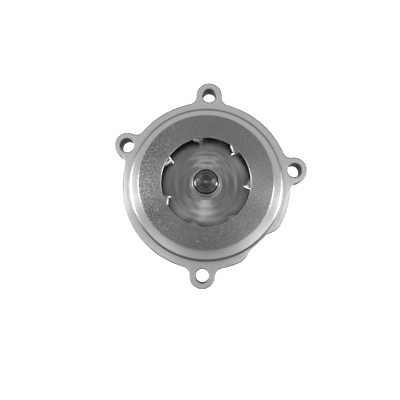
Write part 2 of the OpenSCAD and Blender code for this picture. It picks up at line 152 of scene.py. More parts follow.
def lathe(profile):
    """Turns a closed (r, z) profile about the Z axis. A profile may touch the axis."""
    bm = bmesh.new()
    angles = [2 * math.pi * k / TURN_SEGMENTS for k in range(TURN_SEGMENTS)]
    rings = []
    for r, z in profile:
        if r < 1e-6:
            rings.append([bm.verts.new((0.0, 0.0, z))])
            continue
        rings.append([bm.verts.new((r * math.cos(a), r * math.sin(a), z)) for a in angles])
    for ring, following in zip(rings, rings[1:] + rings[:1]):
        for k in range(TURN_SEGMENTS):
            corners = [ring[k % len(ring)], ring[(k + 1) % len(ring)],
                       following[(k + 1) % len(following)], following[k % len(following)]]
            unique = list(dict.fromkeys(corners))
            if len(unique) > 2:
                bm.faces.new(unique)
    return bm


def cut(piece, cutter_bm):
    """Takes a closed cutter, in millimetres, out of a piece."""
    cutter = add_object("cutter", closed_mesh("cutter", cutter_bm))
    modifier = piece.modifiers.new("cut", "BOOLEAN")
    modifier.operation = "DIFFERENCE"
    modifier.solver = "EXACT"
    modifier.object = cutter
    graph = bpy.context.evaluated_depsgraph_get()
    result = bpy.data.meshes.new_from_object(piece.evaluated_get(graph), depsgraph=graph)
    piece.modifiers.clear()
    piece.data = result
    bpy.data.objects.remove(cutter)


def tube_cutter(radius, start, end, segments=48):
    """A closed round bar between two points, in millimetres."""
    start, end = Vector(start), Vector(end)
    bm = bmesh.new()
    bmesh.ops.create_cone(bm, cap_ends=True, segments=segments, radius1=radius, radius2=radius,
                          depth=(end - start).length)
    turn = (end - start).to_track_quat("Z", "Y").to_matrix().to_4x4()
    bmesh.ops.transform(bm, matrix=Matrix.Translation((start + end) / 2) @ turn, verts=bm.verts)
    return bm


# ---------------------------------------------------------------- materials

# Most of a noise texture's values lie between these two
NOISE_LOW, NOISE_HIGH = 0.3, 0.7
# Turned marks: how much the height counts beside the radius, so that upright walls have rings
# too, and how many coarse bands there are to one fine mark
MARK_HEIGHT_SHARE, BANDS_PER_MARK = 1.7, 0.22


def add_node(tree, kind, inputs=None, **settings):
    """Adds a node. Each of its inputs takes another node's output or a constant."""
    made = tree.nodes.new(kind)
    for key, value in settings.items():
        setattr(made, key, value)
    for key, value in (inputs or {}).items():
        if isinstance(value, bpy.types.NodeSocket):
            tree.links.new(value, made.inputs[key])
        else:
            made.inputs[key].default_value = value
    return made


class Nodes:
    """A small helper that builds one node material around a single Principled shader."""

    def __init__(self, name, **constants):
        self.material = bpy.data.materials.new(name)
        self.material.use_nodes = True
        self.tree = self.material.node_tree
        self.shader = self.tree.nodes["Principled BSDF"]
        self.coord = self.node("ShaderNodeTexCoord").outputs["Object"]
        self.bump_normal = None
        self.set(**constants)

    def set(self, **constants):
        """Sets the shader's own sockets."""
        for key, value in constants.items():
            self.shader.inputs[key.replace("_", " ")].default_value = value

    def link(self, output, socket_name):
        """Drives one of the shader's sockets."""
        self.tree.links.new(output, self.shader.inputs[socket_name])

    def node(self, kind, inputs=None, **settings):
        return add_node(self.tree, kind, inputs, **settings)

    def math(self, operation, a, b):
        return self.node("ShaderNodeMath", {0: a, 1: b}, operation=operation).outputs[0]

    def vector_math(self, operation, a, b=(0.0, 0.0, 0.0)):
        return self.node("ShaderNodeVectorMath", {0: a, 1: b}, operation=operation).outputs

    def axes(self):
        """The object's coordinates, in metres, by axis name."""
        return self.node("ShaderNodeSeparateXYZ", {0: self.coord}).outputs

    def radius(self):
        """Distance from the shaft's axis, in metres."""
        flat = self.vector_math("MULTIPLY", self.coord, (1.0, 1.0, 0.0))[0]
        return self.vector_math("LENGTH", flat)["Value"]

    def noise(self, scale, detail=3.0, rough=0.55, vector=None):
        return self.node("ShaderNodeTexNoise", {
            "Vector": vector or self.coord, "Scale": scale, "Detail": detail,
            "Roughness": rough}).outputs[0]

    def line_noise(self, place, pitch, rough=0.6):
        """Noise along one length in metres, with marks of this pitch in millimetres."""
        return self.node("ShaderNodeTexNoise", {
            "W": place, "Scale": 1.0 / (pitch * MM), "Detail": 2.0, "Roughness": rough},
            noise_dimensions="1D").outputs[0]

    def ramp(self, value, low, high, out_low=0.0, out_high=1.0):
        return self.node("ShaderNodeMapRange", {
            "Value": value, "From Min": low, "From Max": high,
            "To Min": out_low, "To Max": out_high}).outputs[0]

    def span(self, noise, low, high):
        """A noise's usual values, mapped to run from low to high."""
        return self.ramp(noise, NOISE_LOW, NOISE_HIGH, low, high)

    def about(self, noise, middle, reach):
        """A noise's usual values, mapped to run as far below a level as above it."""
        return self.span(noise, middle - reach, middle + reach)

    def graded(self, radius, stops):
        """A smooth curve through (radius in mm, level) stops, the levels between 0 and 1."""
        places = [at * MM for at, level in stops]
        first, last = places[0], places[-1]
        made = self.node("ShaderNodeValToRGB", {0: self.ramp(radius, first, last)})
        ramp = made.color_ramp
        ramp.interpolation = "EASE"
        for place in places[1:-1]:
            ramp.elements.new((place - first) / (last - first))
        for element, (at, level) in zip(ramp.elements, stops):
            element.color = (level, level, level, 1.0)
        return made.outputs[0]

    def grey(self, value, tint=(1.0, 1.0, 1.0)):
        """Links a grey level, tinted, to the base colour."""
        channels = {i: self.math("MULTIPLY", value, tint[i]) for i in range(3)}
        self.link(self.node("ShaderNodeCombineColor", channels).outputs[0], "Base Color")

    def rough(self, value):
        self.link(value, "Roughness")

    def bump(self, height, depth, strength=1.0):
        """Adds a bump layer; depth is the height of the relief in metres."""
        made = self.node("ShaderNodeBump", {"Height": height, "Distance": depth,
                                            "Strength": strength})
        if self.bump_normal is not None:
            self.tree.links.new(self.bump_normal, made.inputs["Normal"])
        self.bump_normal = made.outputs[0]
        self.link(self.bump_normal, "Normal")

    def turned(self, amount, across=True):
        """Stretches the gloss across the tool marks that run round the axis, or along them."""
        around = self.vector_math("CROSS_PRODUCT", (0.0, 0.0, 1.0), self.coord)[0]
        self.link(around, "Tangent")
        self.set(Anisotropic=amount, Anisotropic_Rotation=0.25 if across else 0.0)


def turned_metal(name, level, level_spread, roughness, stretch, ring_pitch, ring_depth,
                 mottle, tint=(1.0, 1.0, 1.0), across=True, radial_tone_and_painted_light=None):
    """Metal turned on a lathe: fine concentric marks, coarser ring bands and faint mottling.

    Pitch and depth of the marks are in millimetres; radial_tone_and_painted_light holds (radius in
    mm, factor) stops that scale the colour by radius, for painted shade, painted highlight and
    tone.
    """
    m = Nodes(name, Metallic=1.0)
    r = m.radius()
    along = m.math("ADD", r, m.math("MULTIPLY", m.axes()["Z"], MARK_HEIGHT_SHARE))
    fine = m.line_noise(along, ring_pitch)
    bands = m.line_noise(along, ring_pitch / BANDS_PER_MARK, 0.5)
    cloud = m.noise(90.0, 4.0, 0.6)
    fine_spread = level_spread * 0.6
    shade = m.math("ADD", m.about(bands, 0.0, level_spread), m.about(cloud, 0.0, mottle))
    shade = m.math("ADD", shade, m.ramp(fine, 0.25, 0.75, -fine_spread, fine_spread))
    shade = m.math("ADD", shade, level)
    # Painted shade and highlight, and tone, set by radius
    if radial_tone_and_painted_light:
        shade = m.math("MULTIPLY", shade, m.graded(r, radial_tone_and_painted_light))
    m.grey(shade, tint)
    m.rough(m.math("ADD", m.about(bands, 0.0, 0.05), m.about(cloud, roughness, 0.03)))
    m.bump(fine, ring_depth * MM)
    m.turned(stretch, across)
    return m.material


def cast_metal(name):
    """Blasted casting skin: soft waves, sandy grain and small pits."""
    m = Nodes(name, Metallic=1.0)
    grain = m.noise(900.0, 5.0, 0.7)
    cloud = m.noise(60.0, 4.0, 0.6)
    waves = m.noise(220.0, 3.0, 0.5)
    pits = m.node("ShaderNodeTexVoronoi", {"Vector": m.coord, "Scale": 700.0}).outputs["Distance"]
    m.grey(m.math("ADD", m.span(cloud, 0.36, 0.45), m.about(grain, 0.0, 0.05)))
    m.rough(m.span(cloud, 0.52, 0.64))
    m.bump(waves, 0.25 * MM, 0.6)
    m.bump(m.math("ADD", grain, m.ramp(pits, 0.0, 0.35, -0.8, 0.0)), 0.12 * MM)
    return m.material


def speckled_steel(name):
    """Sheet steel with painted glint flecks, and painted shade on its -X side and a little on its
    -Y side, where the glints are denser and brighter.
    """
    m = Nodes(name, Metallic=1.0)
    r, axes = m.radius(), m.axes()
    grain = m.noise(1000.0, 4.0, 0.7)
    cloud = m.noise(70.0, 4.0, 0.6)
    marks = m.line_noise(r, 0.5)
    patchy_painted_shade = m.span(m.noise(900.0, 3.0, 0.65), -0.17, 0.07)
    # Where the sheet gets painted shade and denser, brighter painted glints: its -X side and a
    # little of its -Y side
    glint_and_shade_side = m.math("MAXIMUM", m.ramp(axes["X"], -14.0 * MM, -37.0 * MM),
                  m.ramp(axes["Y"], 14.0 * MM, -12.0 * MM, 0.0, 0.3))

    # From 2 to 10 cells in 100 hold a painted glint fleck, and up to 22 more on the side with
    # painted shade
    fleck = m.node("ShaderNodeTexVoronoi", {"Vector": m.coord, "Scale": 1400.0}).outputs
    lot = m.node("ShaderNodeSeparateColor", {0: fleck["Color"]}).outputs[0]
    limit = m.math("SUBTRACT", m.ramp(m.noise(45.0, 3.0, 0.5), 0.40, 0.62, 0.98, 0.90),
                   m.math("MULTIPLY", glint_and_shade_side, 0.22))
    spot = m.math("MULTIPLY", m.math("GREATER_THAN", lot, limit),
                  m.ramp(fleck["Distance"], 0.5, 0.2))

    shade = m.math("ADD", m.span(cloud, 0.26, 0.29), m.about(grain, 0.0, 0.07))
    shade = m.math("ADD", shade, m.about(marks, 0.0, 0.01))
    # Painted shade: patchy darkening on the -X side and a little on the -Y side
    shade = m.math("ADD", shade, m.math("MULTIPLY", patchy_painted_shade, glint_and_shade_side))
    # Painted glints: the flecks are brighter on that side
    shade = m.math("ADD", shade, m.math("MULTIPLY", spot, m.ramp(glint_and_shade_side, 0.0, 1.0, 0.16, 0.46)))
    # The rims, at the eye and outside, carry a painted highlight twice as bright as the rest
    painted_rim_highlight = m.graded(r, ((29.4, 1.0), (29.7, 1.0), (30.0, 0.5), (44.2, 0.5), (44.5, 1.0),
                          (44.9, 1.0)))
    m.grey(m.math("MULTIPLY", shade, m.math("MULTIPLY", painted_rim_highlight, 2.0)))
    m.rough(m.span(grain, 0.32, 0.42))
    m.bump(m.math("ADD", grain, m.math("MULTIPLY", spot, 0.5)), 0.10 * MM)
    m.turned(0.8)
    return m.material


def rolled_steel(name, level, roughness, scale=400.0):
    """Bright strip or wire, its fine grain shorter along Z than across it."""
    m = Nodes(name, Metallic=1.0)
    squeezed = m.node("ShaderNodeMapping", {"Vector": m.coord, "Scale": (1.0, 1.0, 9.0)})
    grain = m.noise(scale, 4.0, 0.7, vector=squeezed.outputs[0])
    cloud = m.noise(120.0, 3.0, 0.5)
    m.grey(m.math("ADD", m.about(grain, 0.0, 0.05), m.about(cloud, level, 0.04)))
    m.rough(m.about(grain, roughness, 0.06))
    m.bump(grain, 0.01 * MM)
    return m.material


def moulded(name, colour, spread, roughness, grain_scale, grain_depth, metallic=0.0):
    """Moulded, drawn, lapped or drilled stuff: a tinted grain; its depth is in millimetres."""
    m = Nodes(name, Metallic=metallic)
    grain = m.noise(grain_scale, 5.0, 0.65)
    cloud = m.noise(130.0, 3.0, 0.5)
    m.grey(m.math("ADD", m.about(grain, 0.0, spread), m.about(cloud, 1.0, spread)), colour)
    m.rough(m.about(grain, roughness, 0.07))
    m.bump(grain, grain_depth * MM)
    return m.material


cast_aluminium = cast_metal("cast_aluminium_skin")
turned_aluminium = turned_metal(
    "cast_aluminium_turned", level=0.74, level_spread=0.012, roughness=0.34, stretch=0.75,
    ring_pitch=0.45, ring_depth=0.004, mottle=0.015)
# A darker copy of the turned aluminium: painted shade on the pilot's soft edge
edge_aluminium_shaded = turned_metal(
    "cast_aluminium_edge_shaded", level=0.43, level_spread=0.01, roughness=0.40, stretch=0.0,
    ring_pitch=0.4, ring_depth=0.001, mottle=0.01)
# Dark lug hole walls: painted shade inside the bores and over their rims' highlights
drilled_aluminium_shaded = moulded(
    "cast_aluminium_drilled_shaded", (0.16, 0.16, 0.165), spread=0.15, roughness=0.5,
    grain_scale=900.0, grain_depth=0.03, metallic=1.0)
shroud_steel = speckled_steel("shroud_steel_speckled")
# Painted shade: the disc darkens from 28 mm out to a quarter at 31 mm and beyond, under the
# shroud's edge
turned_steel = turned_metal(
    "turned_steel_rings", level=0.31, level_spread=0.05, roughness=0.43, stretch=0.94,
    ring_pitch=0.55, ring_depth=0.001, mottle=0.02, across=False,
    radial_tone_and_painted_light=((9.0, 0.9), (28.0, 1.0), (31.0, 0.25)))
bush_steel = turned_metal(
    "turned_steel_bush", level=0.38, level_spread=0.04, roughness=0.30, stretch=0.4,
    ring_pitch=0.4, ring_depth=0.0005, mottle=0.0)
# Painted highlight at the centre of the end, painted shade on the chamfer past 7.7 mm, and lighter
# rings at 4.7 mm and from 6.5 to 7.1 mm
shaft_end_steel = turned_metal(
    "ground_steel_turned_end", level=0.38, level_spread=0.05, roughness=0.36, stretch=0.96,
    ring_pitch=0.5, ring_depth=0.0005, mottle=0.0,
    radial_tone_and_painted_light=((0.0, 0.75), (0.7, 0.6), (1.4, 0.26), (4.2, 0.2), (4.7, 0.45), (5.4, 0.34), (6.0, 0.2),
            (6.5, 0.58), (7.1, 0.58), (7.7, 0.2), (8.0, 0.2)))
hub_steel = turned_metal(
    "hub_steel_oiled", level=0.30, level_spread=0.03, roughness=0.36, stretch=0.5,
    ring_pitch=0.7, ring_depth=0.008, mottle=0.03)
bearing_steel = turned_metal(
    "bearing_steel_ground", level=0.62, level_spread=0.015, roughness=0.2, stretch=0.4,
    ring_pitch=0.3, ring_depth=0.002, mottle=0.01, tint=(0.98, 0.99, 1.0))
blade_steel = rolled_steel("blade_steel_pressed", level=0.30, roughness=0.25)
spring_steel = rolled_steel("spring_steel_oiled", level=0.34, roughness=0.32, scale=900.0)
brass_sheet = moulded(
    "brass_sheet_drawn", (0.72, 0.56, 0.27), spread=0.06, roughness=0.3,
    grain_scale=600.0, grain_depth=0.01, metallic=1.0)
rubber = moulded(
    "rubber_moulded", (0.028, 0.028, 0.03), spread=0.15, roughness=0.62,
    grain_scale=1500.0, grain_depth=0.02)
carbon = moulded(
    "carbon_lapped", (0.05, 0.05, 0.055), spread=0.15, roughness=0.42,
    grain_scale=2500.0, grain_depth=0.01)
ceramic = moulded(
    "ceramic_lapped", (0.80, 0.78, 0.73), spread=0.04, roughness=0.28,
    grain_scale=1800.0, grain_depth=0.004)
cage_nylon = moulded(
    "cage_nylon_moulded", (0.50, 0.40, 0.26), spread=0.07, roughness=0.5,
    grain_scale=1200.0, grain_depth=0.01)

SLOT_MATERIALS = {
    "cast_aluminium": cast_aluminium, "rubber": rubber, "bearing_steel": bearing_steel,
    "spring_steel": spring_steel, "brass_sheet": brass_sheet, "carbon": carbon,
    "ceramic": ceramic, "ground_steel": shaft_end_steel, "turned_steel": turned_steel,
    "shroud_steel": shroud_steel, "blade_steel": blade_steel, "hub_steel": hub_steel,
    "cage_nylon": cage_nylon,
}
for part in frame["record"]["subparts"]:
    for material_slot in nodes[part["node"]].material_slots:
        material_slot.material = SLOT_MATERIALS[part["material_slot"]]


# ---------------------------------------------------------------- housing

# The hole in the casting that the turned sleeve fills: wide at the front, then narrower
SLEEVE_WIDE_R, SLEEVE_STEP_Z, SLEEVE_R, SLEEVE_END = 24.0, -18.0, 19.4, -64.0
SLEEVE_TAPER_END, SLEEVE_NOSE_R = -21.0, NOSE_R - 0.15
# The sleeve's collar, which is the pilot, and the pocket for it in the casting's face
COLLAR_END, POCKET_END = -4.0, -3.5
# How far the sleeve and its collar reach into the casting, so that no gap shows
SLEEVE_OVERLAP, COLLAR_OVERLAP = 0.8, 1.0

# Outside of the raw casting behind the flange, (r, z); its two ends lie inside other metal
DRUM_TOP, NOSE_END = -3.0, -65.0
DRUM_PROFILE = [
    (0.0, DRUM_TOP), (DRUM_R, DRUM_TOP), (DRUM_R, -10.0), (DRUM_BACK_R, DRUM_BACK),
    (CONE_R, DRUM_BACK), (NOSE_R, CONE_BACK), (NOSE_R, NOSE_END), (0.0, NOSE_END)]
# One rib, seen from its side: (distance from the axis, z)
RIB_INNER_R = 16.0
RIB_PROFILE = [
    (RIB_INNER_R, -14.0), (45.0, -15.0), (43.0, -18.0), (NOSE_R, RIB_END), (RIB_INNER_R, RIB_END)]
# Fillets of the casting
PAD_FILLET, RIB_FILLET, BODY_FILLET, NOTCH_FILLET = 3.0, 4.0, 4.0, 1.2
# What the raw casting has on its face before that is machined flat
MACHINING_STOCK = 0.3
# Chamfer at the back of each lug's hole
LUG_EDGE_BREAK = 0.6
# How much the softening takes off the outline's sharp edges
EDGE_LOSS = 0.3

# Grid of the distance field, and the finer table of (r, z) distances that feeds it
VOXEL, FIELD_MARGIN, FIELD_BACK, FIELD_FRONT = 0.5, 2.0, -67.0, 2.5
TABLE_STEP, TABLE_LOW, TABLE_HIGH = 0.25, (0.0, -70.0), (85.0, 5.0)
# Distances that stand for "nowhere near"
FAR_OUTSIDE, FAR_INSIDE = 1e3, -10.0


def polygon_distance(polygon, px, py):
    """Signed distance from points to a closed polygon, negative inside."""
    best = np.full(px.shape, 1e9)
    inside = np.zeros(px.shape, bool)
    for (ax, ay), (bx, by) in zip(polygon, polygon[1:] + polygon[:1]):
        ex, ey = bx - ax, by - ay
        wx, wy = px - ax, py - ay
        t = np.clip((wx * ex + wy * ey) / (ex * ex + ey * ey), 0.0, 1.0)
        best = np.minimum(best, (wx - t * ex) ** 2 + (wy - t * ey) ** 2)
        if ey != 0.0:
            crossing = ((ay > py) != (by > py)) & (px < ax + (py - ay) / ey * ex)
            inside ^= crossing
    best = np.sqrt(best)
    return np.where(inside, -best, best)


def along_and_across(x, y, angle):
    """Plan coordinates along a direction and square to it."""
    return (x * math.cos(angle) + y * math.sin(angle),
            -x * math.sin(angle) + y * math.cos(angle))


def soft_union(a, b, k):
    """Two shapes as one, with a fillet of about this size between them."""
    h = np.clip(k - np.abs(a - b), 0.0, None) / k
    return np.minimum(a, b) - h * h * k * 0.25


def round_common(a, b, radius):
    """What two shapes share, with the convex edge between them rounded."""
    nearest = np.maximum(a, b)
    outer = np.hypot(np.maximum(a + radius, 0.0), np.maximum(b + radius, 0.0)) - radius
    return np.where(nearest < -radius, nearest, outer)


def lug_places():
    """Angle about the shaft and distance from it for each lug, from the record's mounts."""
    places = []
    for mount in frame["record"]["mounts"]:
        if mount["name"].startswith("lug_hole"):
            x, y = mount["pos_m"][0] / MM, mount["pos_m"][1] / MM
            places.append((math.atan2(y, x), math.hypot(x, y)))
    return places


LUGS = lug_places()


def lug_distance(x, y, angle, place):
    """Plan of one lug with the two blends that join it to the flange."""
    u, v = along_and_across(x, y, angle)
    to_flange, to_lug = FLANGE_R + LUG_BLEND_R, LUG_R + LUG_BLEND_R
    spread = math.acos((place ** 2 + to_flange ** 2 - to_lug ** 2) / (2 * place * to_flange))
    bx, by = to_flange * math.cos(spread), to_flange * math.sin(spread)
    web = polygon_distance([(0.0, 0.0), (bx, -by), (place, 0.0), (bx, by)], u, v)
    web = np.maximum(web, LUG_BLEND_R - np.hypot(u - bx, np.abs(v) - by))
    return np.minimum(web, np.hypot(u - place, v) - LUG_R)


def plan_distance(x, y, lugs):
    """Outline of the flange with its lugs and its notch."""
    plan = np.minimum(np.hypot(x, y) - FLANGE_R, lugs)
    flank = math.radians(NOTCH_FLANK_ANGLE)
    u, v = along_and_across(x, y, math.radians(NOTCH_ANGLE))
    root_u = math.sqrt(NOTCH_ROOT_R ** 2 - NOTCH_HALF_W ** 2)
    beyond_flank = (u - root_u) * math.sin(flank) - (np.abs(v) - NOTCH_HALF_W) * math.cos(flank)
    kept = soft_union(beyond_flank, np.hypot(x, y) - NOTCH_ROOT_R, NOTCH_FILLET)
    return np.where(u > 0.0, round_common(plan, kept, NOTCH_CORNER_R), plan)


def turned_table(profile):
    """Distances to a profile at the points of the (r, z) table."""
    r, z = np.meshgrid(*(np.arange(low, high, TABLE_STEP)
                         for low, high in zip(TABLE_LOW, TABLE_HIGH)), indexing="ij")
    return polygon_distance(profile, r, z).astype(np.float32)


def table_lookup(table, r, z):
    """Distances at any (r, z), from between the points of a table."""
    fi, fj = (r - TABLE_LOW[0]) / TABLE_STEP, (z - TABLE_LOW[1]) / TABLE_STEP
    i = np.clip(fi.astype(int), 0, table.shape[0] - 2)
    j = np.clip(fj.astype(int), 0, table.shape[1] - 2)
    ti, tj = fi - i, fj - j
    near = table[i, j] * (1 - tj) + table[i, j + 1] * tj
    far = table[i + 1, j] * (1 - tj) + table[i + 1, j + 1] * tj
    return near * (1 - ti) + far * ti


def soften(field, passes):
    """Rounds the edges of a distance field. Flat faces stay where they are."""
    for axis in (0, 1, 2) * passes:
        beside = np.roll(field, -1, axis) + np.roll(field, 1, axis)
        field *= 0.5
        field += 0.25 * beside


def casting_field():
    """Distance field of the raw casting, with its machined faces and holes cut afterwards."""
    low = np.array(cad_box[0]) / MM - FIELD_MARGIN
    high = np.array(cad_box[1]) / MM + FIELD_MARGIN
    low[2], high[2] = FIELD_BACK, FIELD_FRONT
    xs, ys, zs = (np.arange(low[k], high[k] + VOXEL, VOXEL) for k in range(3))
    x, y = np.meshgrid(xs, ys, indexing="ij")
    r = np.hypot(x, y)
    drum, rib = turned_table(DRUM_PROFILE), turned_table(RIB_PROFILE)

    lugs = np.full(x.shape, FAR_OUTSIDE)
    for angle, place in LUGS:
        lugs = np.minimum(lugs, lug_distance(x, y, angle, place))
    plan = plan_distance(x, y, lugs) - EDGE_LOSS
    pads = np.maximum(lugs - EDGE_LOSS, plan)
    field = np.empty((len(xs), len(ys), len(zs)), np.float32)
    for k, z in enumerate(zs):
        level = np.full(x.shape, z)
        plate = np.maximum(plan, max(z - MACHINING_STOCK, -FLANGE_T - z))
        pad = np.maximum(pads, max(z - MACHINING_STOCK, -LUG_T - z))
        body = table_lookup(drum, r, level)
        for i in range(RIB_COUNT // 2):
            along, across = along_and_across(x, y, math.pi * i * 2 / RIB_COUNT)
            side = table_lookup(rib, np.abs(along), level)
            body = soft_union(body, np.maximum(side, np.abs(across) - RIB_T / 2), RIB_FILLET)
        field[:, :, k] = soft_union(soft_union(plate, pad, PAD_FILLET), body, BODY_FILLET)

    soften(field, 3)
    for k, z in enumerate(zs):
        skin = np.maximum(field[:, :, k], z)
        skin = np.maximum(skin, plan)
        bore = SLEEVE_WIDE_R if z > SLEEVE_STEP_Z else SLEEVE_R
        skin = np.maximum(skin, bore - SLEEVE_OVERLAP - r)
        if z > POCKET_END:
            skin = np.maximum(skin, PILOT_R - COLLAR_OVERLAP - r)
        edge_break = max(0.0, -LUG_T + LUG_EDGE_BREAK - z)
        for angle, place in LUGS:
            hole = np.hypot(x - place * math.cos(angle), y - place * math.sin(angle))
            skin = np.maximum(skin, LUG_HOLE_R + edge_break - hole)
        weep = np.where(y < 0.0, WEEP_R - np.hypot(x, z - WEEP_Z), FAR_INSIDE)
        field[:, :, k] = np.maximum(skin, weep)
    soften(field, 1)
    return field, low


def build_casting():
    """The casting as one mesh: machined face in material 1, lug holes in material 2, painted dark
    as shade.
    """
    field, low = casting_field()
    far = 3.0 * VOXEL
    grid = openvdb.FloatGrid(far)
    grid.copyFromArray(np.clip(field, -far, far))
    points, quads = grid.convertToQuads(0.0)
    points = np.array(points, float) * VOXEL + low
    bm = bmesh.new()
    verts = [bm.verts.new(p) for p in points]
    for quad in quads:
        bm.faces.new([verts[i] for i in quad])
    casting = new_piece("housing_casting", bm, "casing",
                        [cast_aluminium, turned_aluminium, drilled_aluminium_shaded], ["housing"], 40.0)
    centres = [(p * MM * math.cos(a), p * MM * math.sin(a)) for a, p in LUGS]
    for polygon in casting.data.polygons:
        spot = polygon.center
        if polygon.normal.z > 0.999 and spot.z > -0.05 * MM:
            polygon.material_index = 1
        elif min(math.hypot(spot.x - x, spot.y - y) for x, y in centres) < (LUG_HOLE_R + 0.5) * MM:
            polygon.material_index = 2


def build_sleeve():
    """Pilot, bores and nose as one turned piece; the pilot's soft edge has material 1, painted
    darker as shade.
    """
    sleeve = new_piece("housing_turned_faces", lathe(rounded([
        (CAVITY_R, PILOT_H, 0.4), *eased_edge(PILOT_R, PILOT_H, PILOT_CHAMFER_W, PILOT_CHAMFER),
        (PILOT_R, GROOVE_HIGH, 0.12), (GROOVE_R, GROOVE_HIGH),
        (GROOVE_R, GROOVE_LOW), (PILOT_R, GROOVE_LOW, 0.12),
        (PILOT_R, COLLAR_END), (SLEEVE_WIDE_R, COLLAR_END), (SLEEVE_WIDE_R, SLEEVE_STEP_Z),
        (SLEEVE_R, SLEEVE_TAPER_END), (SLEEVE_R, SLEEVE_END), (SLEEVE_NOSE_R, SLEEVE_END, 0.1),
        (SLEEVE_NOSE_R, NOSE_BACK + NOSE_CHAMFER, 0.3), (NOSE_R - NOSE_CHAMFER, NOSE_BACK, 0.3),
        (RACE_R, NOSE_BACK, 0.3), (RACE_R, CLIP_SLOT_BACK, 0.1),
        (CLIP_SLOT_R, CLIP_SLOT_BACK), (CLIP_SLOT_R, CLIP_SLOT_TOP),
        (RACE_R, CLIP_SLOT_TOP, 0.1), (RACE_R, RACE_TOP),
        (CHAMBER_R, RACE_TOP, 0.2), (CHAMBER_R, CASE_BACK, 0.2),
        (CASE_R, CASE_BACK), (CASE_R, CASE_SEAT, 0.3), (CAVITY_R, CASE_SEAT)])),
        "casing", [turned_aluminium, edge_aluminium_shaded], ["housing"])
    edge_low, edge_inner_r = PILOT_H - PILOT_CHAMFER - 0.3, 49.0
    for face in sleeve.data.polygons:
        outside = math.hypot(*face.center[:2]) > edge_inner_r * MM
        if outside and face.center.z > edge_low * MM and 0.2 < face.normal.z < 0.98:
            face.material_index = 1
    cut(sleeve, tube_cutter(WEEP_R, (0.0, -10.0, WEEP_Z), (0.0, -30.0, WEEP_Z)))


build_casting()
build_sleeve()


# ---------------------------------------------------------------- turned parts of the impeller

impeller_low, impeller_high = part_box("impeller_shroud")
IMPELLER_R = impeller_high.x / MM
SHROUD_LOW, SHROUD_HIGH = impeller_low.z / MM, impeller_high.z / MM
disc_low, disc_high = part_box("impeller_disc")
DISC_LOW = disc_low.z / MM
DISC_TOP, BOSS_TOP = DISC_LOW + DISC_T, disc_high.z / MM
COLLAR_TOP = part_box("impeller_hub")[1].z / MM
# Depths of the two steps turned in the shaft's end
END_STEP, END_RECESS = 0.2, 0.35

new_piece("impeller_shroud_plate", lathe(rounded([
    (EYE_R, SHROUD_LOW, 0.3), (IMPELLER_R, SHROUD_LOW, 0.3),
    (IMPELLER_R, SHROUD_HIGH, 0.75), (EYE_R, SHROUD_HIGH, 0.4)])),
    "rotor", [shroud_steel], ["impeller_shroud"])

new_piece("impeller_disc_plate", lathe(rounded([
    (HUB_SPIGOT_R, DISC_LOW), (IMPELLER_R, DISC_LOW, 0.3), (IMPELLER_R, DISC_TOP, 0.3),
    (20.8, DISC_TOP, 1.0), (19.0, DISC_TOP + 0.3, 1.0), (17.2, DISC_TOP + 0.32, 1.5),
    (15.0, DISC_TOP + 0.26, 1.2), (13.3, BOSS_TOP, 1.2), (HUB_SPIGOT_R, BOSS_TOP)], 8)),
    "rotor", [turned_steel], ["impeller_disc"])

new_piece("impeller_hub_bush", lathe(rounded([
    (SHAFT_R, HUB_BACK), (HUB_BACK_R, HUB_BACK, 0.3), (HUB_BACK_R, DISC_LOW),
    (HUB_SPIGOT_R, DISC_LOW), (HUB_SPIGOT_R, BOSS_TOP, 0.2), (HUB_COLLAR_R, BOSS_TOP, 0.2),
    (HUB_COLLAR_R, COLLAR_TOP, 0.45), (8.3, COLLAR_TOP, 0.45), (SHAFT_R, COLLAR_TOP - 1.2)])),
    "rotor", [bush_steel], ["impeller_hub"])


def ball_groove(steps=16):
    """Points of the groove that the bearing's balls run in, up the shaft's wall."""
    low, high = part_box("bearing_ball_1")
    centre = (low + high) / (2.0 * MM)
    pitch, radius = math.hypot(centre.x, centre.y), (high.z - low.z) / (2.0 * MM) + BALL_GAP
    reach = math.acos((pitch - SHAFT_R) / radius)
    turns = [reach * (2.0 * k / steps - 1.0) for k in range(steps + 1)]
    return [(pitch - radius * math.cos(t), centre.z + radius * math.sin(t)) for t in turns]


new_piece("pump_shaft_bar", lathe(rounded([
    (0.0, SHAFT_BACK), (SHAFT_R - SHAFT_CHAMFER, SHAFT_BACK, 0.2),
    (SHAFT_R, SHAFT_BACK + SHAFT_CHAMFER, 0.2), *ball_groove(),
    (SHAFT_R, SHAFT_TOP - SHAFT_CHAMFER, 0.3), (SHAFT_R - SHAFT_CHAMFER, SHAFT_TOP, 0.5),
    (5.9, SHAFT_TOP, 0.1), (5.5, SHAFT_TOP - END_STEP, 0.1), (4.6, SHAFT_TOP - END_STEP, 0.1),
    (4.3, SHAFT_TOP - END_RECESS, 0.1), (0.0, SHAFT_TOP - END_RECESS)])),
    "rotor", [shaft_end_steel], ["pump_shaft"])


# ---------------------------------------------------------------- blades

BLADE_T, BLADE_TIP_R, BLADE_H = 2.2, 44.4, SHROUD_LOW - DISC_TOP
BLADE_INNER_R, BLADE_INNER_LEAN, BLADE_OUTER_LEAN = 26.2, 20.0, 44.0
BLADE_START, BLADE_COUNT = 46.6, 7
# The blade's inner edge stands upright to this far below the shroud, then slopes out past the eye
BLADE_SLOPE_DROP, BLADE_SLOPE_END_R = 3.6, EYE_R + 0.7
BLADE_STEPS, BLADE_CAP_STEPS = 24, 8
# The tab's corners in plan for a blade that points along X, at its foot and at its top
TAB_T, TAB_EDGE_R, TAB_EDGE_STEPS = 1.1, 0.35, 16
TAB_FOOT = ((26.9, 0.2), (28.8, 4.2), (31.6, 5.3), (33.0, -2.6), (28.4, -1.1))
TAB_TOP = ((28.5, -0.6), (30.3, 3.3), (31.6, 5.3), (33.0, -2.6), (28.8, -1.2))


def on_circle(centre, radius, angle):
    """A point of a circle in plan."""
    return centre + radius * np.array([math.cos(angle), math.sin(angle)])


